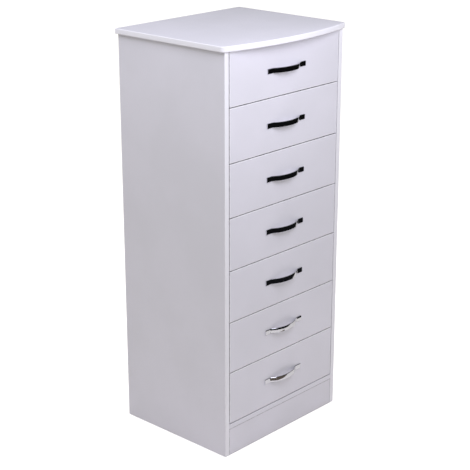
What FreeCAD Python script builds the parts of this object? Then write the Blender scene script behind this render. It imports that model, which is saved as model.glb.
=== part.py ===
import FreeCAD, Part
import math
import os
import re
import Sketcher

# Tall, narrow chest of seven drawers with a bow-fronted top, in millimetres.
# +X is the chest's right as seen from the front, -Y is the front and +Z is up.
# The origin is the middle of the chest's footprint, on the floor.

# ---------------------------------------------------------------- driving dimensions

DIMENSIONS = [
    # name, number, meaning
    ("carcass_width", 496, "width over the side panels"),
    ("carcass_depth", 408, "depth of the side panels"),
    ("total_height", 1200, "height over the top panel"),
    ("board", 16, "thickness of the top, sides, plinth, rails and drawer fronts"),
    ("base_board", 15, "thickness of the base panel"),
    ("drawer_board", 12, "thickness of the drawer sides and backs"),
    ("hardboard", 3, "thickness of the back panel and the drawer bottoms"),
    ("base_height", 86, "height of the base panel's underside"),
    ("plinth_inset", 0.6, "plinth behind the front plane"),
    ("top_side_overhang", 10, "top panel beyond each side panel"),
    ("top_back_overhang", 2, "top panel beyond the rear edges"),
    ("bow_depth", 36, "middle of the top's front edge before the front plane"),
    ("bow_radius", 1030, "radius of the top's front edge"),
    ("top_corner_radius", 14, "rounding of the top's front corners in plan"),
    ("top_edge_radius", 3, "rounding of the top's edges"),
    ("edge_radius", 0.8, "rounding of the banded edges of boards"),
    ("back_inset", 8, "rear edges behind the back panel"),
    ("groove_play", 0.2, "play on each face of a hardboard panel in its groove"),
    ("back_groove", 6, "depth of the back panel's groove"),
    ("front_gap", 3, "gap between fronts, and between fronts and side panels"),
    ("lid_gap", 2.5, "gap between the first front and the top panel"),
    ("first_line", 1032, "height of the gap between the first two fronts"),
    ("drawer_pitch", 154, "height from one drawer to the next"),
    ("box_length", 350, "length of a drawer's side"),
    ("box_height", 110, "height of a drawer's side"),
    ("box_rise", 15, "drawer's side above the gap line under its front"),
    ("bottom_rise", 8, "bottom's groove above the drawer side's lower edge"),
    ("bottom_groove", 5.2, "depth of the bottom's groove"),
    ("runner_rise", 52, "middle of the runner above the drawer side's lower edge"),
    ("runner_height", 9.4, "height of a runner strip"),
    ("runner_length", 322, "length of a runner strip"),
    ("runner_thick", 8.4, "thickness of a runner strip"),
    ("runner_start", 44, "front end of a runner strip behind the front plane"),
    ("runner_play", 0.4, "play between a strip and its groove"),
    ("runner_groove", 7, "depth of the runner's groove in a drawer side"),
    ("groove_stop", 24, "blind front end of the runner's groove"),
    ("peg_radius", 2.5, "radius of a strip's pegs"),
    ("peg_length", 9, "length of a strip's pegs"),
    ("peg_spacing", 128, "distance between a strip's pegs"),
    ("peg_margin", 33, "first peg behind the strip's front end"),
    ("strip_rounding", 3, "rounding of a strip's free ends"),
    ("rail_width", 60, "width of the rails under the top"),
    ("rail_margin", 1, "front rail behind the closed drawer's front"),
    ("glide_height", 2, "floor glide's height under a side panel"),
    ("glide_radius", 7, "radius of a floor glide"),
    ("glide_bevel", 1, "bevel of a floor glide's rim"),
    ("glide_margin", 30, "floor glide from the panel's front and rear edges"),
    ("nail_radius", 1.4, "radius of a floor glide's nail"),
    ("nail_length", 12, "length of a floor glide's nail"),
    ("nail_point", 2, "length of the nail's point"),
    ("hole_pitch", 128, "distance between a handle's screws"),
    ("handle_length", 160, "length of a handle"),
    ("handle_width", 15, "height of a handle's strap"),
    ("handle_thick", 3.2, "thickness of a handle's strap"),
    ("handle_reach", 21, "how far the arch stands out from the front"),
    ("handle_crown", 0.2, "crown of the strap's outer face"),
    ("handle_ease", 0.9, "bevel of the strap's outer edges"),
    ("foot_length", 20, "flat foot of a handle, up to the bend"),
    ("bend_radius", 8, "hollow radius between a foot and its leg, on the outer face"),
    ("leg_slope", 30, "slope of a handle's legs, in degrees"),
    ("shoulder_radius", 20, "round between a leg and the arch, on the outer face"),
    ("arch_radius", 110, "radius of the arch, on the outer face"),
    ("spigot_radius", 3.5, "radius of the spigot behind each foot"),
    ("spigot_length", 4, "length of the spigot behind each foot"),
    ("thread_radius", 2, "radius of the handle screws"),
    ("thread_depth", 6.4, "depth of the thread in foot and spigot"),
    ("handle_hole_play", 0.3, "radial play of handle screws and spigots in a front"),
    ("pan_radius", 4, "radius of a handle screw's head"),
    ("pan_height", 2.2, "height of a handle screw's head"),
    ("pan_bevel", 0.9, "bevel of a handle screw's head"),
    ("cam_radius", 7.5, "radius of a cam lock"),
    ("cam_height", 9, "height of a cam lock"),
    ("cam_distance", 24, "cam lock's axis from the end of its board"),
    ("bolt_radius", 2.4, "radius of a cam bolt"),
    ("bolt_head", 2.9, "radius of a cam bolt's head"),
    ("bolt_head_length", 3, "length of a cam bolt's head"),
    ("bolt_neck", 1.6, "radius of a cam bolt's neck"),
    ("bolt_neck_length", 2.5, "length of a cam bolt's neck"),
    ("bolt_reach", 2.5, "end of a cam bolt past the cam's axis"),
    ("bolt_root", 10, "length of a cam bolt in the other board"),
    ("screw_radius", 1.75, "radius of a wood screw"),
    ("screw_head", 3.6, "radius of a wood screw's head"),
    ("head_height", 2.4, "height of a wood screw's head"),
    ("head_sink", 0.15, "wood screw's head below the board's face"),
    ("screw_point", 4, "length of a wood screw's point"),
    ("screw_length", 27, "length of a wood screw"),
    ("cross_width", 1.1, "width of the slots of a cross recess"),
    ("cross_reach", 4.2, "length of the slots of a cross recess"),
    ("cross_depth", 1.3, "depth of a cross recess"),
    ("dowel_radius", 4, "radius of a dowel"),
    ("dowel_length", 30, "length of a dowel"),
    ("dowel_bevel", 1, "bevel of a dowel's ends"),
    ("dowel_drop", 4, "dowel's middle under the joint that it pins"),
    ("top_dowel_front", 60, "top's front dowels behind the front plane"),
    ("top_dowel_back", 80, "top's back dowels before the side panels' rear edges"),
    ("plinth_dowel_pitch", 116, "distance between the plinth's dowels, and from its ends"),
    ("base_cam_front", 40, "base panel's front cams behind the front plane"),
    ("base_cam_back", 60, "base panel's back cams before the side panels' rear edges"),
    ("low_cam", 22, "lower cams above a drawer side's lower edge"),
    ("high_cam", 88, "upper cams above a drawer side's lower edge"),
    ("fit", 0.12, "radial play of fixings in their holes"),
    ("spare", 0.5, "spare depth at the end of a blind hole or a groove"),
]
DRAWERS = 7
STRIP_PEGS = 3
PLINTH_DOWELS = 3
TOLERANCE = 0.01
SHEET_NAME = "Dimensions"
SIZE = {name: number for name, number, meaning in DIMENSIONS}

# Formulas that several pieces share.
FRONT_Y = "(bow_depth - carcass_depth - top_back_overhang) / 2"
SIDE_X = "0 - carcass_width / 2"
INSIDE_X = "board - carcass_width / 2"
INSIDE_WIDTH = "carcass_width - 2 * board"
UNDER_TOP = "total_height - board"
BACK_FACE = "carcass_depth - back_inset - hardboard - 2 * groove_play"
BOX_X = f"{INSIDE_X} + front_gap"
FRONT_WIDTH = f"{INSIDE_WIDTH} - 2 * front_gap"
INNER_WIDTH = f"({FRONT_WIDTH} - 2 * drawer_board)"
CAM_LINE = "cam_height / 2"
BOLT_X = "drawer_board - cam_height / 2"
BOX_CAMS = ("low_cam", "high_cam")
DOWEL_UP = "dowel_length / 2 - dowel_drop + spare"
DOWEL_DOWN = "dowel_length / 2 + dowel_drop + spare"
SCREW_SEAT = "head_height + head_sink + fit"
SCREW_REACH = "screw_length + head_sink + spare"
TOP_DOWEL_Y = ("top_dowel_front", "carcass_depth - top_dowel_back")
BASE_CAM_Y = ("base_cam_front", "carcass_depth - base_cam_back")
PLINTH_DOWEL_X = [f"{step} * plinth_dowel_pitch" for step in range(1, PLINTH_DOWELS + 1)]
GLIDE_Y = ("glide_margin", "carcass_depth - glide_margin")
FRONT_RAIL_Y = "board + rail_margin"
BACK_RAIL_Y = f"{BACK_FACE} - rail_width"
RAIL_SCREW_X = "carcass_width / 4"
RAIL_LOW = f"{UNDER_TOP} - board"
X_AXIS = FreeCAD.Vector(1, 0, 0)
Y_AXIS = FreeCAD.Vector(0, 1, 0)
Z_AXIS = FreeCAD.Vector(0, 0, 1)

document = FreeCAD.newDocument("chest_of_drawers")


def make_sheet():
    """Write the driving dimensions into a spreadsheet, with the numbers' names as aliases."""
    sheet = document.addObject("Spreadsheet::Sheet", SHEET_NAME)
    for row, (name, number, meaning) in enumerate(DIMENSIONS, start=1):
        sheet.set(f"A{row}", meaning)
        sheet.set(f"B{row}", str(number))
        sheet.setAlias(f"B{row}", name)
    document.recompute()


def cells(formula):
    """Point each dimension named in a formula to its cell in the spreadsheet."""
    def point(match):
        word = match.group()
        return f"{SHEET_NAME}.{word}" if word in SIZE else word
    return re.sub(r"[a-z_]+", point, formula)


# ---------------------------------------------------------------- sketches and features

def place(item, x, y, z):
    """Bind an object's position to formulas."""
    for axis, formula in zip("xyz", (x, y, z)):
        item.setExpression(f"Placement.Base.{axis}", cells(formula))


def new_body(label, x, y, z):
    """Start a body at a position given by formulas."""
    body = document.addObject("PartDesign::Body", label)
    body.Label = label
    place(body, x, y, z)
    return body


def new_sketch(body, role, level="0"):
    """Attach a sketch to the body's own origin plane, moved along that plane's axis."""
    plane = next(item for item in body.Origin.OriginFeatures if item.Role == role)
    sketch = body.newObject("Sketcher::SketchObject", f"{body.Label}_sketch")
    sketch.AttachmentSupport = [(plane, "")]
    sketch.MapMode = "FlatFace"
    lift = f"0 - ({level})" if role == "XZ_Plane" else level
    sketch.setExpression("AttachmentOffset.Base.z", cells(lift))
    return sketch


def bind(sketch, constraint, formula):
    """Add a dimension to a sketch and bind it to a formula."""
    index = sketch.addConstraint(constraint)
    sketch.setExpression(f"Constraints[{index}]", cells(formula))


def bind_point(sketch, geometry, position, x, y):
    """Bind a point's distances from the sketch's origin."""
    point = sketch.getPoint(geometry, position)
    bind(sketch, Sketcher.Constraint("DistanceX", -1, 1, geometry, position, point.x), x)
    bind(sketch, Sketcher.Constraint("DistanceY", -1, 1, geometry, position, point.y), y)


def add_rectangle(sketch, x, y, width, height):
    """Add an upright rectangle from its low corner and its two sizes."""
    first = sketch.GeometryCount
    corners = [(1, 1), (3, 1), (3, 2), (1, 2)]
    for start, end in zip(corners, corners[1:] + corners[:1]):
        sketch.addGeometry(Part.LineSegment(FreeCAD.Vector(*start), FreeCAD.Vector(*end)))
    for side in range(4):
        following = first + (side + 1) % 4
        sketch.addConstraint(Sketcher.Constraint("Coincident", first + side, 2, following, 1))
        lie = "Vertical" if side % 2 else "Horizontal"
        sketch.addConstraint(Sketcher.Constraint(lie, first + side))
    bind(sketch, Sketcher.Constraint("DistanceX", first, 1, first, 2, 2.0), width)
    bind(sketch, Sketcher.Constraint("DistanceY", first + 1, 1, first + 1, 2, 1.0), height)
    bind_point(sketch, first, 1, x, y)


def add_circle(sketch, x, y, radius):
    """Add a circle from its centre and its radius."""
    circle = sketch.addGeometry(Part.Circle(FreeCAD.Vector(1, 1), Z_AXIS, 1.0))
    bind(sketch, Sketcher.Constraint("Radius", circle, 1.0), radius)
    bind_point(sketch, circle, 3, x, y)


def add_shapes(sketch, shapes):
    """Add circles, given by three formulas, and rectangles, given by four."""
    for shape in shapes:
        add = add_circle if len(shape) == 3 else add_rectangle
        add(sketch, *shape)


def pad(body, role, level, length, shapes, towards=1):
    """Add material from a level along a plane's axis, towards +1 or -1."""
    sketch = new_sketch(body, role, level)
    add_shapes(sketch, shapes)
    feature = body.newObject("PartDesign::Pad", f"{body.Label}_pad")
    feature.Profile = sketch
    feature.setExpression("Length", cells(length))
    feature.Reversed = (towards < 0) != (role == "XZ_Plane")
    document.recompute()


def pocket(body, role, level, depth, shapes, towards):
    """Cut shapes from a level along a plane's axis, towards +1 or -1, and check that it cut."""
    before = body.Shape.Volume
    sketch = new_sketch(body, role, level)
    add_shapes(sketch, shapes)
    feature = body.newObject("PartDesign::Pocket", f"{body.Label}_pocket")
    feature.Profile = sketch
    feature.setExpression("Length", cells(depth))
    feature.Reversed = (towards > 0) != (role == "XZ_Plane")
    document.recompute()
    if body.Shape.Volume >= before:
        raise RuntimeError(f"a pocket of {body.Label} cuts nothing")
    return feature


def round_edges(body, radius, chosen):
    """Round the edges of the body's last feature that pass a test of two end points."""
    base = body.Tip
    names = []
    for index, edge in enumerate(base.Shape.Edges, start=1):
        if chosen(edge.firstVertex().Point, edge.lastVertex().Point):
            names.append(f"Edge{index}")
    feature = body.newObject("PartDesign::Fillet", f"{body.Label}_rounding")
    feature.Base = (base, names)
    feature.setExpression("Radius", cells(radius))
    document.recompute()


def make_board(label, role, sizes, position):
    """Make a plain board with its low corner at a position."""
    first, second, thickness = sizes
    body = new_body(label, *position)
    pad(body, role, "0", thickness, [("0", "0", first, second)])
    return body


def round_front_face(body):
    """Round the four edges of a board's front face."""
    def on_front(start, end):
        return abs(start.y) < TOLERANCE and abs(end.y) < TOLERANCE
    round_edges(body, "edge_radius", on_front)


def mirror(source, label):
    """Make a piece's mirror image on the other side of the chest's middle plane."""
    twin = document.addObject("Part::Mirroring", label)
    twin.Label = label
    twin.Source = source
    twin.Normal = X_AXIS
    document.recompute()
    return twin


# ---------------------------------------------------------------- fixings

def make_turned(label, profile):
    """Turn a closed outline of (radius, height) formulas about the local Z axis."""
    body = new_body(label, "0", "0", "0")
    sketch = new_sketch(body, "XZ_Plane")
    count = len(profile)
    for step in range(count):
        start = FreeCAD.Vector(step + 1, step * step)
        sketch.addGeometry(Part.LineSegment(start, start + X_AXIS))
    for step, (radius, height) in enumerate(profile):
        following = (step + 1) % count
        sketch.addConstraint(Sketcher.Constraint("Coincident", step, 2, following, 1))
        bind_point(sketch, step, 1, radius, height)
    feature = body.newObject("PartDesign::Revolution", f"{label}_turned")
    feature.Profile = sketch
    feature.ReferenceAxis = (sketch, ["V_Axis"])
    feature.Angle = 360
    document.recompute()
    return body


def cut_cross(body, level):
    """Cut a cross recess down into the top of a head."""
    for width, length in (("cross_width", "cross_reach"), ("cross_reach", "cross_width")):
        slot = (f"0 - {width} / 2", f"0 - {length} / 2", width, length)
        pocket(body, "XY_Plane", level, "cross_depth", [slot], towards=-1)


def make_wood_screw():
    """Wood screw whose tip is at the origin and whose head is on top."""
    under_head = "screw_length - head_height"
    body = make_turned("wood_screw", [
        ("0", "0"), ("screw_radius", "screw_point"), ("screw_radius", under_head),
        ("screw_head", under_head), ("screw_head", "screw_length"), ("0", "screw_length")])
    cut_cross(body, "screw_length")
    return body


def make_handle_screw():
    """Handle screw whose head sits on z = 0 and whose thread points down."""
    tip = "spigot_length + spare - board - thread_depth"
    body = make_turned("handle_screw", [
        ("0", tip), ("thread_radius", tip), ("thread_radius", "0"), ("pan_radius", "0"),
        ("pan_radius", "pan_height - pan_bevel"), ("pan_radius - pan_bevel", "pan_height"),
        ("0", "pan_height")])
    cut_cross(body, "pan_height")
    return body


def make_cam_lock():
    """Cam lock standing on its closed face, with the bolt's socket open towards -X."""
    body = make_turned("cam_lock", [
        ("0", "0"), ("cam_radius", "0"), ("cam_radius", "cam_height"), ("0", "cam_height")])
    socket = ("0", CAM_LINE, "bolt_head + spare")
    pocket(body, "YZ_Plane", "bolt_reach + spare", "2 * cam_radius", [socket], towards=-1)
    return body


def make_cam_bolt():
    """Cam bolt along +Z: root below z = 0, then shank, neck and the head that the cam grips."""
    tip = "cam_distance + bolt_reach"
    head = f"{tip} - bolt_head_length"
    neck = f"{head} - bolt_neck_length"
    return make_turned("cam_bolt", [
        ("0", "0 - bolt_root"), ("bolt_radius", "0 - bolt_root"), ("bolt_radius", neck),
        ("bolt_neck", neck), ("bolt_neck", head), ("bolt_head", head), ("bolt_head", tip),
        ("0", tip)])


def make_dowel():
    """Dowel along +Z with tapered ends, centred on the origin."""
    end = "dowel_length / 2"
    shoulder = f"{end} - dowel_bevel"
    tapered = "dowel_radius - dowel_bevel"
    return make_turned("dowel", [
        ("0", f"0 - {end}"), (tapered, f"0 - {end}"), ("dowel_radius", f"0 - ({shoulder})"),
        ("dowel_radius", shoulder), (tapered, end), ("0", end)])


def make_glide():
    """Nail-in floor glide that stands on z = 0."""
    tip = "glide_height + nail_length"
    return make_turned("glide", [
        ("0", "0"), ("glide_radius - glide_bevel", "0"), ("glide_radius", "glide_bevel"),
        ("glide_radius", "glide_height"), ("nail_radius", "glide_height"),
        ("nail_radius", f"{tip} - nail_point"), ("0", tip)])


def make_strip():
    """Runner strip that lies against x = 0 on its +X side, with pegs that point to -X."""
    body = new_body("runner_strip", "0", "0", "0")
    pad(body, "YZ_Plane", "0", "runner_thick", [("0", "0", "runner_length", "runner_height")])

    def at_free_end(start, end):
        upright = abs(start.y - end.y) < TOLERANCE
        return upright and min(start.x, end.x) > SIZE["runner_thick"] - TOLERANCE
    round_edges(body, "strip_rounding", at_free_end)
    middle = "runner_height / 2"
    pegs = [(f"peg_margin + {step} * peg_spacing", middle, "peg_radius")
            for step in range(STRIP_PEGS)]
    pad(body, "YZ_Plane", "0", "peg_length", pegs, towards=-1)
    return body


def copy_of(master, position, up, side):
    """Link a fixing at a position, with its local Z along up and its local X along side."""
    link = document.addObject("App::Link", f"{master.Label}_copy")
    link.LinkedObject = master
    link.LinkTransform = False
    across = up.cross(side)
    link.Placement.Rotation = FreeCAD.Rotation(side, across, up, "ZXY")
    place(link, *position)
    return link


def make_group(label, links):
    """Join placed copies into one sub-part of separate solids."""
    group = document.addObject("Part::Compound", label)
    group.Label = label
    group.Links = links
    document.recompute()
    return group


# ---------------------------------------------------------------- carcass

def make_top_panel():
    """Top panel: bowed front edge, rounded front corners and softened edges."""
    body = new_body("top_panel", "0", FRONT_Y, UNDER_TOP)
    half = SIZE["carcass_width"] / 2 + SIZE["top_side_overhang"]
    back = SIZE["carcass_depth"] + SIZE["top_back_overhang"]
    apex = -SIZE["bow_depth"]
    corner = apex + SIZE["bow_radius"] - (SIZE["bow_radius"] ** 2 - half ** 2) ** 0.5
    sketch = new_sketch(body, "XY_Plane")
    rear_left = FreeCAD.Vector(-half, back)
    rear_right = FreeCAD.Vector(half, back)
    front_right = FreeCAD.Vector(half, corner)
    front_left = FreeCAD.Vector(-half, corner)
    sketch.addGeometry(Part.LineSegment(rear_left, rear_right))
    sketch.addGeometry(Part.LineSegment(rear_right, front_right))
    sketch.addGeometry(Part.Arc(front_left, FreeCAD.Vector(0, apex), front_right))
    sketch.addGeometry(Part.LineSegment(front_left, rear_left))
    rear, right, bow, left = range(4)
    for first, first_end, second, second_end in (
            (rear, 2, right, 1), (right, 2, bow, 2), (bow, 1, left, 1), (left, 2, rear, 1)):
        sketch.addConstraint(
            Sketcher.Constraint("Coincident", first, first_end, second, second_end))
    sketch.addConstraint(Sketcher.Constraint("Symmetric", rear, 1, rear, 2, -2))
    sketch.addConstraint(Sketcher.Constraint("Vertical", right))
    sketch.addConstraint(Sketcher.Constraint("Vertical", left))
    sketch.addConstraint(Sketcher.Constraint("PointOnObject", bow, 3, -2))
    width = "carcass_width + 2 * top_side_overhang"
    bind(sketch, Sketcher.Constraint("DistanceX", rear, 1, rear, 2, 2 * half), width)
    depth = "carcass_depth + top_back_overhang"
    bind(sketch, Sketcher.Constraint("DistanceY", -1, 1, rear, 1, back), depth)
    bind(sketch, Sketcher.Constraint("Radius", bow, SIZE["bow_radius"]), "bow_radius")
    centre = SIZE["bow_radius"] + apex
    bind(sketch, Sketcher.Constraint("DistanceY", -1, 1, bow, 3, centre), "bow_radius - bow_depth")
    feature = body.newObject("PartDesign::Pad", "top_panel_pad")
    feature.Profile = sketch
    feature.setExpression("Length", cells("board"))
    document.recompute()

    def at_front_corner(start, end):
        upright = abs(start.z - end.z) > TOLERANCE
        return upright and start.y < SIZE["carcass_depth"] / 2

    def off_the_rear(start, end):
        level = abs(start.z - end.z) < TOLERANCE
        return level and min(start.y, end.y) < back - TOLERANCE
    round_edges(body, "top_corner_radius", at_front_corner)
    round_edges(body, "top_edge_radius", off_the_rear)

    # Blind holes in the underside, for the side panels' dowels and the rails' screws.
    holes = []
    for y in TOP_DOWEL_Y:
        holes.append(("(carcass_width - board) / 2", y, "dowel_radius + fit"))
        holes.append(("(board - carcass_width) / 2", y, "dowel_radius + fit"))
    pocket(body, "XY_Plane", "0", DOWEL_UP, holes, towards=1)
    pilots = []
    for rail_y in (FRONT_RAIL_Y, BACK_RAIL_Y):
        for x in (RAIL_SCREW_X, f"0 - {RAIL_SCREW_X}"):
            pilots.append((x, f"{rail_y} + rail_width / 2", "screw_radius + fit"))
    pocket(body, "XY_Plane", "0", f"{SCREW_REACH} - board", pilots, towards=1)
    return body


def make_side_panel():
    """Left side panel, from the glides to the top."""
    height = f"{UNDER_TOP} - glide_height"
    body = make_board("left_side_panel", "YZ_Plane",
                      ("carcass_depth", height, "board"), (SIDE_X, FRONT_Y, "glide_height"))
    round_front_face(body)
    groove = (BACK_FACE, "0", "hardboard + 2 * groove_play", height)
    pocket(body, "YZ_Plane", "board", "back_groove", [groove], towards=-1)

    lowest = f"first_line - {DRAWERS - 1} * drawer_pitch + box_rise + runner_rise - glide_height"
    pegs = []
    for step in range(STRIP_PEGS):
        pegs.append((f"runner_start + peg_margin + {step} * peg_spacing", lowest,
                     "peg_radius + fit"))
    first = pocket(body, "YZ_Plane", "board", "peg_length + spare", pegs, towards=-1)
    before = body.Shape.Volume
    ladder = body.newObject("PartDesign::LinearPattern", "left_side_panel_peg_holes")
    ladder.Originals = [first]
    ladder.Direction = (first.Profile[0], ["V_Axis"])
    ladder.setExpression("Length", cells(f"{DRAWERS - 1} * drawer_pitch"))
    ladder.Occurrences = DRAWERS
    body.Tip = ladder
    document.recompute()
    if body.Shape.Volume >= before:
        raise RuntimeError("the ladder of peg holes cuts nothing")

    bolts = [(y, f"base_height + {CAM_LINE} - glide_height", "bolt_radius + fit")
             for y in BASE_CAM_Y]
    for rail_y in (FRONT_RAIL_Y, BACK_RAIL_Y):
        bolts.append((f"{rail_y} + rail_width / 2", f"{RAIL_LOW} + {CAM_LINE} - glide_height",
                      "bolt_radius + fit"))
    pocket(body, "YZ_Plane", "board", "bolt_root + spare", bolts, towards=-1)
    dowels = [("board / 2", y, "dowel_radius + fit") for y in TOP_DOWEL_Y]
    pocket(body, "XY_Plane", height, DOWEL_DOWN, dowels, towards=-1)
    nails = [("board / 2", y, "nail_radius + fit") for y in GLIDE_Y]
    pocket(body, "XY_Plane", "0", "nail_length + spare", nails, towards=1)
    return body


def add_cam_seats(body, width, seats):
    """Cut cam pockets in a flat board's underside and bolt holes in its two ends."""
    cams = []
    for y in seats:
        cams.append(("cam_distance", y, "cam_radius + fit"))
        cams.append((f"{width} - cam_distance", y, "cam_radius + fit"))
    pocket(body, "XY_Plane", "0", "cam_height + fit", cams, towards=1)
    ends = [(y, CAM_LINE, "bolt_head + fit") for y in seats]
    pocket(body, "YZ_Plane", "0", "cam_distance", ends, towards=1)
    pocket(body, "YZ_Plane", width, "cam_distance", ends, towards=-1)


def make_base_panel():
    """Base panel between the side panels, under the lowest drawer."""
    body = make_board("base_panel", "XY_Plane", (INSIDE_WIDTH, BACK_FACE, "base_board"),
                      (INSIDE_X, FRONT_Y, "base_height"))
    round_front_face(body)
    add_cam_seats(body, INSIDE_WIDTH, BASE_CAM_Y)
    dowels = [(x, "plinth_inset + board / 2", "dowel_radius + fit") for x in PLINTH_DOWEL_X]
    pocket(body, "XY_Plane", "0", DOWEL_UP, dowels, towards=1)
    return body


def make_plinth():
    """Plinth board under the base panel."""
    height = "base_height - glide_height"
    body = make_board("front_plinth", "XZ_Plane", (INSIDE_WIDTH, height, "board"),
                      (INSIDE_X, f"{FRONT_Y} + plinth_inset", "glide_height"))
    round_front_face(body)
    dowels = [(x, "board / 2", "dowel_radius + fit") for x in PLINTH_DOWEL_X]
    pocket(body, "XY_Plane", height, DOWEL_DOWN, dowels, towards=-1)
    return body


def make_back_panel():
    """Hardboard back in the side panels' grooves."""
    return make_board("back_panel", "XZ_Plane",
                      (f"{INSIDE_WIDTH} + 2 * (back_groove - spare)",
                       f"{UNDER_TOP} - base_height - spare", "hardboard"),
                      (f"{INSIDE_X} - back_groove + spare",
                       f"{FRONT_Y} + {BACK_FACE} + groove_play", "base_height"))


def make_rail(label, rail_y):
    """Flat rail under the top panel."""
    body = make_board(label, "XY_Plane", (INSIDE_WIDTH, "rail_width", "board"),
                      (INSIDE_X, f"{FRONT_Y} + {rail_y}", RAIL_LOW))
    round_front_face(body)
    add_cam_seats(body, INSIDE_WIDTH, ["rail_width / 2"])
    middle = f"({INSIDE_WIDTH}) / 2"
    for radius, depth in (("screw_radius + fit", "board"), ("screw_head + fit", SCREW_SEAT)):
        holes = [(f"{middle} {sign} {RAIL_SCREW_X}", "rail_width / 2", radius) for sign in "+-"]
        pocket(body, "XY_Plane", "0", depth, holes, towards=1)
    return body


def make_carcass(masters):
    """Make every piece of the carcass."""
    left = make_side_panel()
    pieces = [
        make_top_panel(),
        left,
        mirror(left, "right_side_panel"),
        make_base_panel(),
        make_plinth(),
        make_back_panel(),
        make_rail("top_front_rail", FRONT_RAIL_Y),
        make_rail("top_back_rail", BACK_RAIL_Y),
    ]
    strips = []
    glides = []
    fixings = []
    for sign, into_chest in ((-1, X_AXIS), (1, -X_AXIS)):
        panel_face = f"{sign} * (carcass_width / 2 - board)"
        panel_middle = f"{sign} * (carcass_width / 2 - board / 2)"
        for number in range(1, DRAWERS + 1):
            low = f"{box_low(number)} + runner_rise - runner_height / 2"
            # A strip turned about the vertical runs the other way, so it starts at its far end.
            start = "runner_start" if sign < 0 else "runner_start + runner_length"
            strips.append(copy_of(masters["strip"], (panel_face, f"{FRONT_Y} + {start}", low),
                                  Z_AXIS, into_chest))
        for y in GLIDE_Y:
            glides.append(copy_of(masters["glide"], (panel_middle, f"{FRONT_Y} + {y}", "0"),
                                  Z_AXIS, X_AXIS))
        for y in TOP_DOWEL_Y:
            fixings.append(copy_of(masters["dowel"],
                                   (panel_middle, f"{FRONT_Y} + {y}",
                                    f"{UNDER_TOP} - dowel_drop"), Z_AXIS, X_AXIS))
        seats = [(y, "base_height") for y in BASE_CAM_Y]
        seats += [(f"{y} + rail_width / 2", RAIL_LOW) for y in (FRONT_RAIL_Y, BACK_RAIL_Y)]
        for y, low in seats:
            cam_x = f"{panel_face} - {sign} * cam_distance"
            fixings.append(copy_of(masters["cam"], (cam_x, f"{FRONT_Y} + {y}", low),
                                   Z_AXIS, into_chest))
            fixings.append(copy_of(masters["bolt"],
                                   (panel_face, f"{FRONT_Y} + {y}", f"{low} + {CAM_LINE}"),
                                   into_chest, Z_AXIS))
        for rail_y in (FRONT_RAIL_Y, BACK_RAIL_Y):
            fixings.append(copy_of(masters["screw"],
                                   (f"{sign} * {RAIL_SCREW_X}",
                                    f"{FRONT_Y} + {rail_y} + rail_width / 2",
                                    f"{RAIL_LOW} + head_sink + screw_length"),
                                   -Z_AXIS, X_AXIS))
    for x in PLINTH_DOWEL_X:
        fixings.append(copy_of(masters["dowel"],
                               (f"{INSIDE_X} + {x}", f"{FRONT_Y} + plinth_inset + board / 2",
                                "base_height - dowel_drop"), Z_AXIS, X_AXIS))
    pieces.append(make_group("runner_strips", strips))
    pieces.append(make_group("floor_glides", glides))
    pieces.append(make_group("carcass_fixings", fixings))
    return pieces


# ---------------------------------------------------------------- drawers

def line_under(number):
    """Height of the gap line under a drawer's front."""
    return f"first_line - {number - 1} * drawer_pitch"


def front_low(number):
    """Height of a front's lower edge."""
    if number == DRAWERS:
        return "base_height + base_board + front_gap"
    return f"{line_under(number)} + front_gap / 2"


def front_high(number):
    """Height of a front's upper edge."""
    if number == 1:
        return f"{UNDER_TOP} - lid_gap"
    return f"{line_under(number - 1)} - front_gap / 2"


def front_middle(number):
    """Height of a front's middle, where the handle is."""
    low = front_low(number)
    return f"{low} + ({front_high(number)} - ({low})) / 2"


def box_low(number):
    """Height of a drawer side's lower edge."""
    return f"{line_under(number)} + box_rise"


def make_front(number):
    """Inset front with handle holes, cam bolt holes and the bottom's groove."""
    height = f"({front_high(number)} - ({front_low(number)}))"
    rise = f"({box_low(number)} - ({front_low(number)}))"
    body = make_board(f"drawer_{number}_front", "XZ_Plane", (FRONT_WIDTH, height, "board"),
                      (BOX_X, FRONT_Y, front_low(number)))
    round_front_face(body)
    middle = f"({FRONT_WIDTH}) / 2"
    for radius, depth in (("thread_radius + handle_hole_play", "board"),
                          ("spigot_radius + handle_hole_play", "spigot_length + spare")):
        holes = [(f"{middle} {sign} hole_pitch / 2", f"{height} / 2", radius) for sign in "+-"]
        pocket(body, "XZ_Plane", "0", depth, holes, towards=1)
    bolts = []
    for x in (BOLT_X, f"{FRONT_WIDTH} - ({BOLT_X})"):
        for z in BOX_CAMS:
            bolts.append((x, f"{rise} + {z}", "bolt_radius + fit"))
    pocket(body, "XZ_Plane", "board", "bolt_root + spare", bolts, towards=-1)
    groove = ("drawer_board - bottom_groove", f"{rise} + bottom_rise",
              f"{FRONT_WIDTH} - 2 * (drawer_board - bottom_groove)",
              "hardboard + 2 * groove_play")
    pocket(body, "XZ_Plane", "board", "bottom_groove", [groove], towards=-1)
    return body


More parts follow.
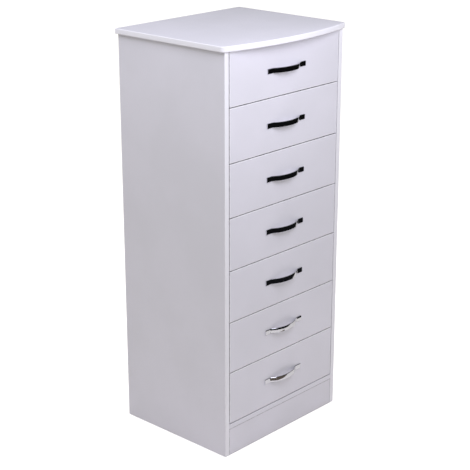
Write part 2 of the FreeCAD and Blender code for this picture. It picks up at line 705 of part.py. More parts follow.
def make_box_side(number):
    """Left drawer side: runner groove outside, bottom groove and cam seats inside."""
    body = make_board(f"drawer_{number}_left_side", "YZ_Plane",
                      ("box_length", "box_height", "drawer_board"),
                      (BOX_X, f"{FRONT_Y} + board", box_low(number)))
    runner = ("groove_stop", "runner_rise - runner_height / 2 - runner_play",
              "box_length - groove_stop", "runner_height + 2 * runner_play")
    pocket(body, "YZ_Plane", "0", "runner_groove", [runner], towards=1)
    bottom = ("0", "bottom_rise", "box_length", "hardboard + 2 * groove_play")
    pocket(body, "YZ_Plane", "drawer_board", "bottom_groove", [bottom], towards=-1)
    cams = [("cam_distance", z, "cam_radius + fit") for z in BOX_CAMS]
    pocket(body, "YZ_Plane", "drawer_board", "cam_height + fit", cams, towards=-1)
    bolts = [(BOLT_X, z, "bolt_head + fit") for z in BOX_CAMS]
    pocket(body, "XZ_Plane", "0", "cam_distance", bolts, towards=1)
    for radius, depth in (("screw_radius + fit", "drawer_board"), ("screw_head + fit", SCREW_SEAT)):
        screws = [("box_length - drawer_board / 2", z, radius) for z in BOX_CAMS]
        pocket(body, "YZ_Plane", "0", depth, screws, towards=1)
    return body


def make_box_back(number):
    """Back of a drawer, standing on the bottom between the two sides."""
    foot = "(bottom_rise + hardboard + 2 * groove_play)"
    body = make_board(f"drawer_{number}_back", "XZ_Plane",
                      (INNER_WIDTH, f"box_height - {foot}", "drawer_board"),
                      (f"{BOX_X} + drawer_board", f"{FRONT_Y} + board + box_length - drawer_board",
                       f"{box_low(number)} + {foot}"))
    screws = [("drawer_board / 2", f"{z} - {foot}", "screw_radius + fit")
              for z in BOX_CAMS]
    depth = f"{SCREW_REACH} - drawer_board"
    pocket(body, "YZ_Plane", "0", depth, screws, towards=1)
    pocket(body, "YZ_Plane", INNER_WIDTH, depth, screws, towards=-1)
    return body


def make_box_bottom(number):
    """Hardboard bottom in the grooves of the front and sides, under the back."""
    reach = "(bottom_groove - spare)"
    return make_board(f"drawer_{number}_bottom", "XY_Plane",
                      (f"{INNER_WIDTH} + 2 * {reach}", f"box_length + {reach}", "hardboard"),
                      (f"{BOX_X} + drawer_board - {reach}", f"{FRONT_Y} + board - {reach}",
                       f"{box_low(number)} + bottom_rise + groove_play"))


def add_arc(sketch, centre, radius, start, end):
    """Add an anticlockwise arc between two angles in radians."""
    circle = Part.Circle(centre, Z_AXIS, radius)
    return sketch.addGeometry(Part.ArcOfCircle(circle, start, end))


def draw_strap_path(body):
    """Draw a strap's middle line in plan: foot, bend, leg, shoulder, arch and back down again."""
    half_thick = SIZE["handle_thick"] / 2
    half_length = SIZE["handle_length"] / 2
    foot_end = half_length - SIZE["foot_length"]
    slope = math.radians(SIZE["leg_slope"])
    bend = SIZE["bend_radius"] + half_thick
    shoulder = SIZE["shoulder_radius"] - half_thick
    arch = SIZE["arch_radius"] - half_thick
    apex_out = SIZE["handle_reach"] - half_thick
    bend_out = half_thick + bend
    arch_out = apex_out - arch
    # Measured square to the leg, the centres of bend and shoulder are the sum of their radii
    # apart, and that fixes the slope at which the arch hands over to the shoulder.
    square_to_leg = (foot_end * math.sin(slope) + (bend_out - arch_out) * math.cos(slope)
                     - bend - shoulder)
    hand_over = slope - math.acos(square_to_leg / (arch - shoulder))
    shoulder_x = (arch - shoulder) * math.sin(hand_over)
    shoulder_out = arch_out + (arch - shoulder) * math.cos(hand_over)

    path = new_sketch(body, "XY_Plane")
    normal = FreeCAD.Vector(math.sin(slope), -math.cos(slope))
    shoulder_centre = FreeCAD.Vector(shoulder_x, -shoulder_out)
    bend_centre = FreeCAD.Vector(foot_end, -bend_out)
    leg_top = shoulder_centre + normal * shoulder
    leg_foot = bend_centre - normal * bend
    heel = FreeCAD.Vector(foot_end, -half_thick)
    tip = FreeCAD.Vector(half_length, -half_thick)

    def mirrored(point):
        return FreeCAD.Vector(-point.x, point.y)

    down = math.pi / 2
    left_foot = path.addGeometry(Part.LineSegment(mirrored(tip), mirrored(heel)))
    left_bend = add_arc(path, mirrored(bend_centre), bend, down - slope, down)
    left_leg = path.addGeometry(Part.LineSegment(mirrored(leg_foot), mirrored(leg_top)))
    left_shoulder = add_arc(path, mirrored(shoulder_centre), shoulder,
                            -down - slope, -down - hand_over)
    arch_arc = add_arc(path, FreeCAD.Vector(0, -arch_out), arch,
                       -down - hand_over, hand_over - down)
    right_shoulder = add_arc(path, shoulder_centre, shoulder, hand_over - down, slope - down)
    right_leg = path.addGeometry(Part.LineSegment(leg_top, leg_foot))
    right_bend = add_arc(path, bend_centre, bend, down, down + slope)
    right_foot = path.addGeometry(Part.LineSegment(heel, tip))
    apex = path.addGeometry(Part.Point(FreeCAD.Vector(0, -apex_out)), True)

    for joint in ((left_foot, 2, left_bend, 2), (left_bend, 1, left_leg, 1),
                  (left_leg, 2, left_shoulder, 1), (left_shoulder, 2, arch_arc, 1),
                  (arch_arc, 2, right_shoulder, 1), (right_shoulder, 2, right_leg, 1),
                  (right_leg, 2, right_bend, 2), (right_bend, 1, right_foot, 1)):
        path.addConstraint(Sketcher.Constraint("Tangent", *joint))
    path.addConstraint(Sketcher.Constraint("Horizontal", right_foot))
    path.addConstraint(Sketcher.Constraint("Symmetric", left_foot, 1, right_foot, 2, -2))
    path.addConstraint(Sketcher.Constraint("Symmetric", left_foot, 2, right_foot, 1, -2))
    for first, second in ((left_bend, right_bend), (left_shoulder, right_shoulder),
                          (left_leg, right_leg)):
        path.addConstraint(Sketcher.Constraint("Equal", first, second))
    path.addConstraint(Sketcher.Constraint("PointOnObject", arch_arc, 3, -2))
    path.addConstraint(Sketcher.Constraint("PointOnObject", apex, 1, arch_arc))
    bind_point(path, apex, 1, "0", "handle_thick / 2 - handle_reach")
    bind_point(path, right_foot, 2, "handle_length / 2", "0 - handle_thick / 2")
    foot = Sketcher.Constraint("DistanceX", right_foot, 1, right_foot, 2, SIZE["foot_length"])
    bind(path, foot, "foot_length")
    for arc, radius, formula in ((right_bend, bend, "bend_radius + handle_thick / 2"),
                                 (right_shoulder, shoulder, "shoulder_radius - handle_thick / 2"),
                                 (arch_arc, arch, "arch_radius - handle_thick / 2")):
        bind(path, Sketcher.Constraint("Radius", arc, radius), formula)
    bind(path, Sketcher.Constraint("Angle", right_leg, slope), "leg_slope * 1 deg")
    return path


def draw_strap_section(body):
    """Draw a strap's section at its left end: flat inside, crowned outside, broken edges."""
    high = SIZE["handle_width"] / 2
    crest = SIZE["handle_thick"]
    shoulder = crest - SIZE["handle_crown"]
    ease = SIZE["handle_ease"]
    corners = [(0, -high), (0, high), (ease - shoulder, high), (-shoulder, high - ease),
               (-shoulder, ease - high), (ease - shoulder, -high)]
    points = [FreeCAD.Vector(*corner) for corner in corners]
    crowned_side = 3
    section = new_sketch(body, "YZ_Plane", "0 - handle_length / 2")
    for side, start in enumerate(points):
        end = points[(side + 1) % len(points)]
        if side == crowned_side:
            section.addGeometry(Part.Arc(start, FreeCAD.Vector(-crest, 0), end))
        else:
            section.addGeometry(Part.LineSegment(start, end))
    for side in range(len(points)):
        following = (side + 1) % len(points)
        section.addConstraint(Sketcher.Constraint("Coincident", side, 2, following, 1))
    top = "handle_width / 2"
    out = "0 - handle_thick + handle_crown"
    bind_point(section, 0, 1, "0", f"0 - {top}")
    bind_point(section, 1, 1, "0", top)
    bind_point(section, 2, 1, f"{out} + handle_ease", top)
    bind_point(section, 3, 1, out, f"{top} - handle_ease")
    bind_point(section, 4, 1, out, f"handle_ease - {top}")
    bind_point(section, 5, 1, f"{out} + handle_ease", f"0 - {top}")
    crest_point = section.addGeometry(Part.Point(FreeCAD.Vector(-crest, 0)), True)
    section.addConstraint(Sketcher.Constraint("PointOnObject", crest_point, 1, crowned_side))
    bind_point(section, crest_point, 1, "0 - handle_thick", "0")
    return section


def make_handle(number):
    """Arched strap handle: a strap swept along its path, with two threaded spigots."""
    label = f"drawer_{number}_handle"
    body = new_body(label, "0", FRONT_Y, front_middle(number))
    path = draw_strap_path(body)
    section = draw_strap_section(body)
    pipe = body.newObject("PartDesign::AdditivePipe", f"{label}_strap")
    pipe.Profile = section
    pipe.Spine = path
    document.recompute()
    before = body.Shape.Volume
    centres = [f"{sign} * hole_pitch / 2" for sign in (-1, 1)]
    spigots = [(x, "0", "spigot_radius") for x in centres]
    pad(body, "XZ_Plane", "0", "spigot_length", spigots)
    if body.Shape.Volume <= before:
        raise RuntimeError(f"the spigots of {label} add nothing")
    threads = [(x, "0", "thread_radius + fit") for x in centres]
    pocket(body, "XZ_Plane", "spigot_length", "thread_depth", threads, towards=-1)
    return body


def make_drawer(number, masters):
    """Make every piece of one drawer."""
    left = make_box_side(number)
    pieces = [
        make_front(number),
        left,
        mirror(left, f"drawer_{number}_right_side"),
        make_box_back(number),
        make_box_bottom(number),
        make_handle(number),
    ]
    low = box_low(number)
    middle = front_middle(number)
    back_y = f"{FRONT_Y} + board + box_length - drawer_board / 2"
    fixings = []
    for sign, inwards in ((-1, X_AXIS), (1, -X_AXIS)):
        outer = f"{sign} * ({FRONT_WIDTH}) / 2"
        fixings.append(copy_of(masters["handle_screw"],
                               (f"{sign} * hole_pitch / 2", f"{FRONT_Y} + board", middle),
                               Y_AXIS, X_AXIS))
        for height in BOX_CAMS:
            inner_face = f"{outer} - {sign} * (drawer_board - cam_height)"
            fixings.append(copy_of(masters["cam"],
                                   (inner_face, f"{FRONT_Y} + board + cam_distance",
                                    f"{low} + {height}"), inwards, Y_AXIS))
            fixings.append(copy_of(masters["bolt"],
                                   (f"{outer} - {sign} * ({BOLT_X})", f"{FRONT_Y} + board",
                                    f"{low} + {height}"), Y_AXIS, Z_AXIS))
            fixings.append(copy_of(masters["screw"],
                                   (f"{outer} - {sign} * (screw_length + head_sink)", back_y,
                                    f"{low} + {height}"), -inwards, Z_AXIS))
    pieces.append(make_group(f"drawer_{number}_fixings", fixings))
    return pieces


# ---------------------------------------------------------------- checks and export

def check(pieces):
    """Stop if any object failed or any sub-part has a bad shape."""
    for item in document.Objects:
        if "Invalid" in item.State or "Error" in item.State:
            raise RuntimeError(f"{item.Name} failed: {item.State}")
    for piece in pieces:
        if piece.Shape.isNull() or not piece.Shape.isValid():
            raise RuntimeError(f"{piece.Label} has a bad shape")


def export(pieces):
    """Write each sub-part to a STEP file of its own name."""
    os.makedirs("parts", exist_ok=True)
    for piece in pieces:
        piece.Shape.exportStep(f"parts/{piece.Label}.step")


make_sheet()
fixing_masters = {
    "strip": make_strip(),
    "glide": make_glide(),
    "dowel": make_dowel(),
    "cam": make_cam_lock(),
    "bolt": make_cam_bolt(),
    "screw": make_wood_screw(),
    "handle_screw": make_handle_screw(),
}
sub_parts = make_carcass(fixing_masters)
for drawer_number in range(1, DRAWERS + 1):
    sub_parts += make_drawer(drawer_number, fixing_masters)
document.recompute()
check(sub_parts)
export(sub_parts)
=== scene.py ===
import math
import bpy
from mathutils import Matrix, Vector


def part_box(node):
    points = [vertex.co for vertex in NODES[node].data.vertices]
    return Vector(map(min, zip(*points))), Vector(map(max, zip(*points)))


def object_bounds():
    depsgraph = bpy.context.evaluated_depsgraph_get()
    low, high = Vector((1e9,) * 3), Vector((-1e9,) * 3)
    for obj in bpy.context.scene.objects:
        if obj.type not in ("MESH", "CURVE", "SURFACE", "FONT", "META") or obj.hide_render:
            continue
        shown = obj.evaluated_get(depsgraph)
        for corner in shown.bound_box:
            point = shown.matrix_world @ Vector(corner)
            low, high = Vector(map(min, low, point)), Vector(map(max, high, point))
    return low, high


# Looks of a tall, narrow chest of seven drawers: satin white foil on particle board, chrome
# strap handles, matt drawer boxes. Metres; +X is the chest's right, -Y its front, +Z up.

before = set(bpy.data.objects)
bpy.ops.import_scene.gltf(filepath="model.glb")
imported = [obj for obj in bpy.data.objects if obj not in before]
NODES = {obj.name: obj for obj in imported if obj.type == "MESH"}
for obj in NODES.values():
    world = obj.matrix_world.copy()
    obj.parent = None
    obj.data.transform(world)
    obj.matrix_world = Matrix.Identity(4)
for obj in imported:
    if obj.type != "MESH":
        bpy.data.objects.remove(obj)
CAD_LOW, CAD_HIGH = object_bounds()
MIDDLE = (CAD_LOW + CAD_HIGH) / 2
DRAWERS = 7

# Camera: a tall object seen a little from above and from its left front.
CAMERA_AZIMUTH = math.radians(47.35)
CAMERA_FALL = math.radians(19.06)
CAMERA_DISTANCE = 3.846
CAMERA_AIM = MIDDLE + Vector((-0.002, 0.003, -0.024))
CAMERA_LENS = 99.0
CAMERA_REACH = 60.0

# Strengths of the even light around, for matt surfaces and in reflections, and of the glow
# that whitens the floor for the camera alone.
FILL_STRENGTH = 0.467
REFLECTED_STRENGTH = 0.057
FLOOR_GLOW = 0.75

# Soft square lights: name, place, point that it faces, size, power and if reflections show it.
LIGHTS = [
    ("key", (-0.3, -1.3, 1.8), (0.0, -0.2, 1.1), 0.8, 8.8, True),
    ("near_key", (-0.1, -0.8, 1.5), (0.0, -0.2, 1.1), 0.6, 2.7, False),
    ("overhead", (-1.0, 0.1, 2.4), (0.0, 0.0, 1.1), 1.0, 15.5, False),
    ("right_rear", (2.2, 0.6, 1.4), (0.25, 0.0, 0.8), 1.2, 14.0, False),
]

# The floor's half width, and dark sheets just above it that only reflections show: name,
# colour's name and corners anticlockwise. The far one reaches the floor's edges.
FLOOR_REACH = 14
FLAG_LEVEL = 0.004
FLAGS = [
    ("flag_far", "black", [(-FLOOR_REACH, -FLOOR_REACH), (FLOOR_REACH, -FLOOR_REACH),
                           (FLOOR_REACH, -0.3), (1.6, -0.3), (0.15, -1.05),
                           (-FLOOR_REACH, -1.05)]),
    ("flag_near", "brown", [(-0.5, -0.80), (0.36, -0.80), (0.36, -0.52), (-0.5, -0.52)]),
]

# A board's rim, where its foil wears rougher and its rim colour lies (a painted highlight on
# # the drawer fronts' edges, painted seam shade round the plinth), is whole up to the first
# # distance from its edge and gone at the second. So are the rubbed rim of a drawer box's boards
# # and the dull bevel of a handle.
WEAR_AND_LIGHT_RIM = (0.0008, 0.0024)
RUBBED_RIM = (0.0002, 0.0014)
BEVEL_RIM = (0.0004, 0.0012)

# The values that most of a noise texture lies between.
NOISE_SPAN = (0.3, 0.7)

# A board's surface belongs to a wide face where this much of its normal is square to it.
FACE_ON = 0.8

# How far the top's dowels reach down into the side panels, and half the width that a cam bolt
# needs, both with a little to spare.
DOWEL_DEPTH = 0.020
BOLT_CLEARANCE = 0.004

# Linear colours of the studio.
KEY_COLOUR = (0.877, 0.880, 1.0)
SEEN_WHITE = (1, 1, 1, 1)
FILL_COLOUR = (0.99, 1.0, 0.90, 1)
REFLECTED_COLOUR = (0.95, 0.95, 1.0, 1)
FLOOR_PALE = (0.96, 0.915, 0.92, 1)
FLOOR_SHADE = (0.94, 0.895, 0.90, 1)
FLAG_COLOURS = {"black": (0.01, 0.01, 0.012, 1), "brown": (0.12, 0.095, 0.08, 1)}

# Linear colours of the chest.
FOIL_WHITE = (0.765, 0.750, 0.827, 1)
FOIL_SHADE = (0.737, 0.724, 0.795, 1)
BAND_WHITE = (0.870, 0.860, 0.920, 1)
# Grey of the drawer fronts' narrow faces: painted shade in the gaps between the fronts.
GAP_SHADE_GREY = (0.600, 0.588, 0.635, 1)
# Pale rim of the drawer fronts: a painted highlight along their edges.
EDGE_HIGHLIGHT_WHITE = (0.960, 0.950, 0.990, 1)
# Dark rim round the plinth: a glue line with painted shade in its seams and along the floor.
GLUE_AND_SEAM_SHADE_GREY = (0.270, 0.262, 0.285, 1)
PAPER_WHITE = (0.74, 0.73, 0.75, 1)
PAPER_SHADE = (0.68, 0.67, 0.69, 1)
LACQUER_WHITE = (0.76, 0.75, 0.77, 1)
LACQUER_SHADE = (0.70, 0.69, 0.71, 1)
RAW_FIBRE = (0.36, 0.245, 0.155, 1)
RAW_FIBRE_DARK = (0.23, 0.150, 0.092, 1)
CHROME = (0.78, 0.79, 0.81, 1)
CHROME_DULL = (0.62, 0.63, 0.66, 1)
NYLON = (0.70, 0.70, 0.68, 1)
NYLON_SHADE = (0.60, 0.60, 0.58, 1)
GREY_PLASTIC = (0.20, 0.20, 0.21, 1)
GREY_PLASTIC_SHADE = (0.14, 0.14, 0.15, 1)
ZINC = (0.62, 0.63, 0.64, 1)
ZINC_DULL = (0.45, 0.45, 0.46, 1)
BEECH = (0.55, 0.38, 0.22, 1)
BEECH_DARK = (0.42, 0.27, 0.14, 1)


# ---------------------------------------------------------------- node helpers

def node(tree, kind, links=None, values=None, **settings):
    """Add a shader node, with its settings, socket values and incoming links."""
    item = tree.nodes.new(kind)
    for name, value in settings.items():
        setattr(item, name, value)
    for socket, value in (values or {}).items():
        item.inputs[socket].default_value = value
    for socket, source in (links or {}).items():
        tree.links.new(source, item.inputs[socket])
    return item


def new_material(name, metallic=0.0, specular=0.5, roughness=0.5):
    """Start a material, and return it with its tree and its shader."""
    material = bpy.data.materials.new(name)
    material.use_nodes = True
    tree = material.node_tree
    shader = tree.nodes["Principled BSDF"]
    shader.inputs["Metallic"].default_value = metallic
    shader.inputs["Specular IOR Level"].default_value = specular
    shader.inputs["Roughness"].default_value = roughness
    return material, tree, shader


def own_place(tree):
    """Position in the piece's own space, which stays with the piece when it moves."""
    return node(tree, "ShaderNodeTexCoord").outputs["Object"]


def split_axes(tree, vector):
    """A vector's parts, by the names X, Y and Z."""
    return node(tree, "ShaderNodeSeparateXYZ", {0: vector}).outputs


def calculate(tree, operation, first, second=None):
    """Calculate with one or two numbers, each a socket or a constant."""
    item = node(tree, "ShaderNodeMath", operation=operation)
    for index, value in enumerate((first, second)):
        if value is None:
            continue
        if isinstance(value, (int, float)):
            item.inputs[index].default_value = value
        else:
            tree.links.new(value, item.inputs[index])
    return item.outputs[0]


def times(tree, first, second):
    """Multiply two numbers, each a socket or a constant."""
    return calculate(tree, "MULTIPLY", first, second)


def plus(tree, first, second):
    """Add two numbers, each a socket or a constant."""
    return calculate(tree, "ADD", first, second)


def magnitude(tree, number):
    """A number without its sign."""
    return calculate(tree, "ABSOLUTE", number)


def ramp(tree, factor, span, low, high):
    """Map a number's span smoothly onto low to high."""
    item = node(tree, "ShaderNodeMapRange", {"Value": factor},
                {"From Min": span[0], "From Max": span[1], "To Min": low, "To Max": high},
                interpolation_type="SMOOTHSTEP")
    return item.outputs["Result"]


def noise(tree, place, scale, detail=2.0, stretch=None):
    """Grey noise with its cells per metre, stretched along the axes if asked."""
    if stretch:
        place = node(tree, "ShaderNodeMapping", {"Vector": place},
                     {"Scale": stretch}).outputs["Vector"]
    return node(tree, "ShaderNodeTexNoise", {"Vector": place},
                {"Scale": scale, "Detail": detail}).outputs["Fac"]


def mix(tree, factor, first, second):
    """Blend two colours, each a socket or a constant."""
    item = node(tree, "ShaderNodeMix", {"Factor": factor}, data_type="RGBA")
    for name, value in (("A", first), ("B", second)):
        socket = next(s for s in item.inputs if s.name == name and s.type == "RGBA")
        if isinstance(value, tuple):
            socket.default_value = value
        else:
            tree.links.new(value, socket)
    return next(s for s in item.outputs if s.type == "RGBA")


def mottled(tree, factor, first, second, span=NOISE_SPAN):
    """Two colours mixed by a noise, all the way from one to the other."""
    return mix(tree, ramp(tree, factor, span, 0.0, 1.0), first, second)


def bump(tree, height, strength, distance, before=None):
    """Turn a height into a normal, on top of another bump if there is one."""
    links = {"Height": height}
    if before is not None:
        links["Normal"] = before
    return node(tree, "ShaderNodeBump", links,
                {"Strength": strength, "Distance": distance}).outputs["Normal"]


def link_surface(tree, shader, colour, rough, normal):
    """Link a shader to its colour, its roughness and its normal."""
    for name, source in (("Base Color", colour), ("Roughness", rough), ("Normal", normal)):
        tree.links.new(source, shader.inputs[name])


def edge_distance(tree, place, low, high):
    """Distance from a point on a box's surface to the nearest edge of the box."""
    above = node(tree, "ShaderNodeVectorMath", {0: place}, {1: low}, operation="SUBTRACT")
    below = node(tree, "ShaderNodeVectorMath", {1: place}, {0: high}, operation="SUBTRACT")
    near = node(tree, "ShaderNodeVectorMath", {0: above.outputs[0], 1: below.outputs[0]},
                operation="MINIMUM")
    split = split_axes(tree, near.outputs[0])
    least = calculate(tree, "MINIMUM", split["X"], split["Y"])
    most = calculate(tree, "MAXIMUM", split["X"], split["Y"])
    return calculate(tree, "MAXIMUM", least, calculate(tree, "MINIMUM", most, split["Z"]))


def on_edge_face(tree, low, high):
    """1 on a board's narrow faces, which carry its edge band, and 0 on its two wide ones. On a
    drawer front the narrow faces get a grey that paints shade into the gaps.
    """
    widths = [high[axis] - low[axis] for axis in range(3)]
    thin = "XYZ"[widths.index(min(widths))]
    facing = node(tree, "ShaderNodeTexCoord").outputs["Normal"]
    square_on = magnitude(tree, split_axes(tree, facing)[thin])
    return calculate(tree, "LESS_THAN", square_on, FACE_ON)


def paint(name, material):
    """Give a CAD node its material."""
    for slot in NODES[name].material_slots:
        slot.material = material


# ---------------------------------------------------------------- materials

def foil_board(name, narrow_face_colour, rim):
    """Satin white foil on particle board, with the colours of its narrow faces and its rims. On
    the drawer fronts these are painted shade in the gaps and a painted highlight along the
    edges; round the plinth the rim is a glue line with painted seam shade.
    """
    low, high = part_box(name)
    material, tree, shader = new_material(f"foil_{name}")
    place = own_place(tree)
    cloud = noise(tree, place, scale=5.0, detail=3.0)
    mottle = noise(tree, place, scale=160.0)
    rim_breakup = noise(tree, place, scale=70.0, detail=4.0)
    grain = noise(tree, place, scale=1400.0, detail=1.0)

    body = mottled(tree, cloud, FOIL_WHITE, FOIL_SHADE, (0.35, 0.65))
    speckled = mix(tree, ramp(tree, mottle, (0.45, 0.75), 0.0, 0.25), body, FOIL_SHADE)
    covered = mix(tree, on_edge_face(tree, low, high), speckled, narrow_face_colour)
    # Rim mask, broken up by a noise: rougher wear on every board, and in colour a painted
    # highlight on the fronts' edges and painted seam shade round the plinth.
    border = ramp(tree, edge_distance(tree, place, low, high), WEAR_AND_LIGHT_RIM, 1.0, 0.0)
    rim_wear_and_light = times(tree, border, ramp(tree, rim_breakup, (0.35, 0.6), 0.45, 1.0))
    satin = ramp(tree, mottle, NOISE_SPAN, 0.34, 0.42)
    waves = bump(tree, noise(tree, place, scale=28.0, detail=1.0), 0.10, 0.0006)
    link_surface(tree, shader, mix(tree, rim_wear_and_light, covered, rim),
                 plus(tree, satin, times(tree, rim_wear_and_light, 0.08)),
                 bump(tree, grain, 0.12, 0.00012, waves))
    return material


def paper_board(name):
    """Matt white paper foil with a faint linen, for one board of a drawer box."""
    low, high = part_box(name)
    material, tree, shader = new_material(f"paper_{name}", specular=0.35)
    place = own_place(tree)
    cloud = noise(tree, place, scale=9.0, detail=3.0)
    threads = noise(tree, place, scale=900.0, detail=1.0, stretch=(1.0, 0.08, 1.0))

    tone = mottled(tree, cloud, PAPER_WHITE, PAPER_SHADE)
    rubbed = ramp(tree, edge_distance(tree, place, low, high), RUBBED_RIM, 0.6, 0.0)
    link_surface(tree, shader, mix(tree, rubbed, tone, PAPER_SHADE),
                 ramp(tree, threads, NOISE_SPAN, 0.54, 0.66),
                 bump(tree, threads, 0.25, 0.0001))
    return material


def hardboard(name, axis, towards):
    """Hardboard that is lacquered white on one face and raw on the face it turns towards."""
    low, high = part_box(name)
    material, tree, shader = new_material(f"hardboard_{name}", specular=0.4)
    place = own_place(tree)
    cloud = noise(tree, place, scale=11.0, detail=3.0)
    fibres = noise(tree, place, scale=260.0, detail=5.0, stretch=(1.0, 1.0, 0.35))
    flecks = noise(tree, place, scale=34.0, detail=4.0)

    lacquer = mottled(tree, cloud, LACQUER_WHITE, LACQUER_SHADE)
    fibre = mottled(tree, fibres, RAW_FIBRE, RAW_FIBRE_DARK, (0.3, 0.72))
    fibre = mix(tree, ramp(tree, flecks, (0.4, 0.8), 0.0, 0.35), fibre, RAW_FIBRE_DARK)
    index = "XYZ".index(axis)
    middle = (low[index] + high[index]) / 2
    beyond = "GREATER_THAN" if towards > 0 else "LESS_THAN"
    raw = calculate(tree, beyond, split_axes(tree, place)[axis], middle)
    height = times(tree, fibres, plus(tree, raw, 0.15))
    link_surface(tree, shader, mix(tree, raw, lacquer, fibre),
                 plus(tree, ramp(tree, fibres, (0.2, 0.8), 0.44, 0.56), times(tree, raw, 0.25)),
                 bump(tree, height, 0.35, 0.0003))
    return material


def chrome_strap(name):
    """Polished chrome plate with fine wipe marks and a duller bevel, for one handle."""
    low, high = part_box(name)
    material, tree, shader = new_material(f"chrome_{name}", metallic=1.0)
    place = own_place(tree)
    haze = noise(tree, place, scale=60.0, detail=3.0)
    wipes = noise(tree, place, scale=1500.0, stretch=(0.02, 0.02, 1.0))

    height = split_axes(tree, place)["Z"]
    to_edge = calculate(tree, "MINIMUM", calculate(tree, "SUBTRACT", height, low.z),
                        calculate(tree, "SUBTRACT", high.z, height))
    bevel = ramp(tree, to_edge, BEVEL_RIM, 1.0, 0.0)
    dull = calculate(tree, "MAXIMUM", ramp(tree, haze, (0.5, 0.85), 0.0, 0.3),
                     times(tree, bevel, 0.25))
    ripple = bump(tree, noise(tree, place, scale=45.0, detail=1.0), 0.05, 0.0003)
    link_surface(tree, shader, mix(tree, dull, CHROME, CHROME_DULL),
                 plus(tree, ramp(tree, wipes, (0.3, 0.8), 0.035, 0.09), times(tree, bevel, 0.10)),
                 bump(tree, wipes, 0.04, 0.00003, ripple))
    return material


def moulded_plastic(name, bright, shade, roughness):
    """Moulded plastic with a fine spark-eroded grain."""
    material, tree, shader = new_material(name)
    place = own_place(tree)
    cloud = noise(tree, place, scale=40.0, detail=3.0)
    grain = noise(tree, place, scale=2200.0, detail=1.0)
    link_surface(tree, shader, mottled(tree, cloud, bright, shade),
                 ramp(tree, grain, NOISE_SPAN, roughness - 0.06, roughness + 0.06),
                 bump(tree, grain, 0.3, 0.00008))
    return material


def zinc_plate(name, find_beech=None):
    """Zinc-plated steel, with beech wherever the function given for it finds 1."""
    material, tree, shader = new_material(name, metallic=1.0)
    place = own_place(tree)
    spangle = noise(tree, place, scale=320.0, detail=3.0)
    colour = mottled(tree, spangle, ZINC, ZINC_DULL, (0.35, 0.65))
    rough = ramp(tree, spangle, NOISE_SPAN, 0.26, 0.42)
    if find_beech:
        wood = find_beech(tree, place)
        fibres = noise(tree, place, scale=500.0, detail=3.0, stretch=(1.0, 1.0, 0.1))
        colour = mix(tree, wood, colour, mottled(tree, fibres, BEECH, BEECH_DARK))
        rough = plus(tree, rough, times(tree, wood, 0.25))
        metal = calculate(tree, "SUBTRACT", 1.0, wood)
        tree.links.new(metal, shader.inputs["Metallic"])
    link_surface(tree, shader, colour, rough, bump(tree, spangle, 0.1, 0.00006))
    return material


def carcass_dowels(tree, place):
    """1 on the carcass's dowels: in the side panels' tops, and behind the plinth's face."""
    split = split_axes(tree, place)
    panel_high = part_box("left_side_panel")[1]
    # The rails' cam bolts are in the side panels' tops too, in front of and behind the dowels.
    front_bolt, back_bolt = (sum(corner.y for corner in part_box(name)) / 2
                             for name in ("top_front_rail", "top_back_rail"))
    from_middle = calculate(tree, "SUBTRACT", split["Y"], (front_bolt + back_bolt) / 2)
    between_bolts = calculate(tree, "LESS_THAN", magnitude(tree, from_middle),
                              (back_bolt - front_bolt) / 2 - BOLT_CLEARANCE)
    in_panel = calculate(tree, "GREATER_THAN", magnitude(tree, split["X"]), -panel_high.x)
    aloft = calculate(tree, "GREATER_THAN", split["Z"], panel_high.z - DOWEL_DEPTH)
    in_top = times(tree, times(tree, in_panel, aloft), between_bolts)
    forward = calculate(tree, "LESS_THAN", split["Y"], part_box("front_plinth")[1].y)
    low_down = calculate(tree, "LESS_THAN", split["Z"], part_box("base_panel")[1].z)
    return calculate(tree, "MAXIMUM", in_top, times(tree, forward, low_down))


def paint_all():
    """Give every CAD node its material."""
    for name in ("top_panel", "left_side_panel", "right_side_panel"):
        paint(name, foil_board(name, BAND_WHITE, BAND_WHITE))
    for name in ("base_panel", "top_front_rail", "top_back_rail"):
        paint(name, foil_board(name, FOIL_WHITE, FOIL_SHADE))
    # The plinth's dark rim is a glue line with painted shade in its seams with the base panel,
    # the side panels and the floor.
    paint("front_plinth", foil_board("front_plinth", FOIL_SHADE, GLUE_AND_SEAM_SHADE_GREY))
    paint("back_panel", hardboard("back_panel", "Y", 1))
    paint("runner_strips", moulded_plastic("runner_nylon", NYLON, NYLON_SHADE, 0.45))
    paint("floor_glides", moulded_plastic("glide_plastic", GREY_PLASTIC, GREY_PLASTIC_SHADE, 0.5))
    paint("carcass_fixings", zinc_plate("zinc_and_dowels", carcass_dowels))
    zinc = zinc_plate("zinc")
    for number in range(1, DRAWERS + 1):
        drawer = f"drawer_{number}"
        # A front's grey narrow faces paint shade into the gaps, and its pale rim paints a
        # highlight along its edges.
        paint(f"{drawer}_front", foil_board(f"{drawer}_front", GAP_SHADE_GREY, EDGE_HIGHLIGHT_WHITE))
        for piece in ("left_side", "right_side", "back"):
            paint(f"{drawer}_{piece}", paper_board(f"{drawer}_{piece}"))
        paint(f"{drawer}_bottom", hardboard(f"{drawer}_bottom", "Z", -1))
        paint(f"{drawer}_handle", chrome_strap(f"{drawer}_handle"))
        paint(f"{drawer}_fixings", zinc)


# ---------------------------------------------------------------- studio

def make_sheet(name, corners, level, material):
    """Level sheet with its corners given anticlockwise."""
    mesh = bpy.data.meshes.new(name)
    mesh.from_pydata([(x, y, level) for x, y in corners], [], [range(len(corners))])
    mesh.materials.append(material)
    sheet = bpy.data.objects.new(name, mesh)
    bpy.context.scene.collection.objects.link(sheet)
    return sheet


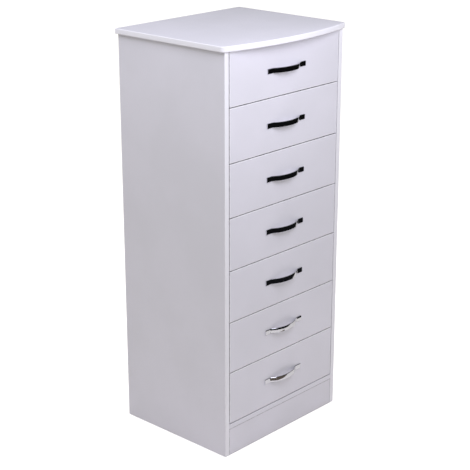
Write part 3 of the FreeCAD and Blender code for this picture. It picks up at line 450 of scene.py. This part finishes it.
def make_floor():
    """Plain pale floor that glows for the camera alone."""
    pale, tree, shader = new_material("floor_paint", roughness=0.7)
    patches = noise(tree, own_place(tree), scale=0.6)
    tree.links.new(mottled(tree, patches, FLOOR_PALE, FLOOR_SHADE), shader.inputs["Base Color"])
    shader.inputs["Emission Color"].default_value = SEEN_WHITE
    seen = node(tree, "ShaderNodeLightPath").outputs["Is Camera Ray"]
    tree.links.new(times(tree, seen, FLOOR_GLOW), shader.inputs["Emission Strength"])
    square = [(-FLOOR_REACH, -FLOOR_REACH), (FLOOR_REACH, -FLOOR_REACH),
              (FLOOR_REACH, FLOOR_REACH), (-FLOOR_REACH, FLOOR_REACH)]
    make_sheet("studio_floor", square, 0.0, pale)


def make_flags():
    """Dark sheets that the handles mirror and the camera can't see."""
    for name, colour, corners in FLAGS:
        cloth, _, shader = new_material(f"flag_{colour}", specular=0.0, roughness=0.9)
        shader.inputs["Base Color"].default_value = FLAG_COLOURS[colour]
        flag = make_sheet(name, corners, FLAG_LEVEL, cloth)
        flag.visible_camera = False
        flag.visible_diffuse = False
        flag.visible_shadow = False
        flag.visible_transmission = False


def make_world():
    """White for the camera, a soft fill for matt surfaces, a dark studio in reflections."""
    world = bpy.data.worlds.new("studio_world")
    bpy.context.scene.world = world
    world.use_nodes = True
    tree = world.node_tree
    tree.nodes.clear()
    path = node(tree, "ShaderNodeLightPath").outputs
    fill, dark, white = (
        node(tree, "ShaderNodeBackground", values={"Color": colour, "Strength": strength})
        for colour, strength in ((FILL_COLOUR, FILL_STRENGTH),
                                 (REFLECTED_COLOUR, REFLECTED_STRENGTH), (SEEN_WHITE, 1.0)))
    unseen = node(tree, "ShaderNodeMixShader",
                  {"Fac": path["Is Glossy Ray"], 1: fill.outputs[0], 2: dark.outputs[0]})
    final = node(tree, "ShaderNodeMixShader",
                 {"Fac": path["Is Camera Ray"], 1: unseen.outputs[0], 2: white.outputs[0]})
    node(tree, "ShaderNodeOutputWorld", {"Surface": final.outputs[0]})


def make_lights():
    """Soft lights: two before the upper drawers, one over the top's left, one right behind."""
    for name, place, aim, size, power, in_reflections in LIGHTS:
        data = bpy.data.lights.new(name, "AREA")
        data.shape = "SQUARE"
        data.size = size
        data.energy = power
        data.color = KEY_COLOUR
        light = bpy.data.objects.new(name, data)
        light.location = place
        ahead = Vector(aim) - Vector(place)
        light.rotation_euler = ahead.to_track_quat("-Z", "Y").to_euler()
        light.visible_camera = False
        light.visible_glossy = in_reflections
        bpy.context.scene.collection.objects.link(light)


def make_camera():
    """Camera at the viewing angle, level, with no lens shift and everything in focus."""
    level = math.cos(CAMERA_FALL)
    ahead = Vector((math.sin(CAMERA_AZIMUTH) * level, math.cos(CAMERA_AZIMUTH) * level,
                    -math.sin(CAMERA_FALL)))
    data = bpy.data.cameras.new("view_camera")
    data.lens = CAMERA_LENS
    data.clip_end = CAMERA_REACH
    camera = bpy.data.objects.new("view_camera", data)
    camera.location = CAMERA_AIM - ahead * CAMERA_DISTANCE
    camera.rotation_euler = (math.pi / 2 - CAMERA_FALL, 0.0, -CAMERA_AZIMUTH)
    bpy.context.scene.collection.objects.link(camera)
    bpy.context.scene.camera = camera


paint_all()
make_floor()
make_flags()
make_world()
make_lights()
make_camera()
bpy.context.scene.view_settings.view_transform = "Standard"
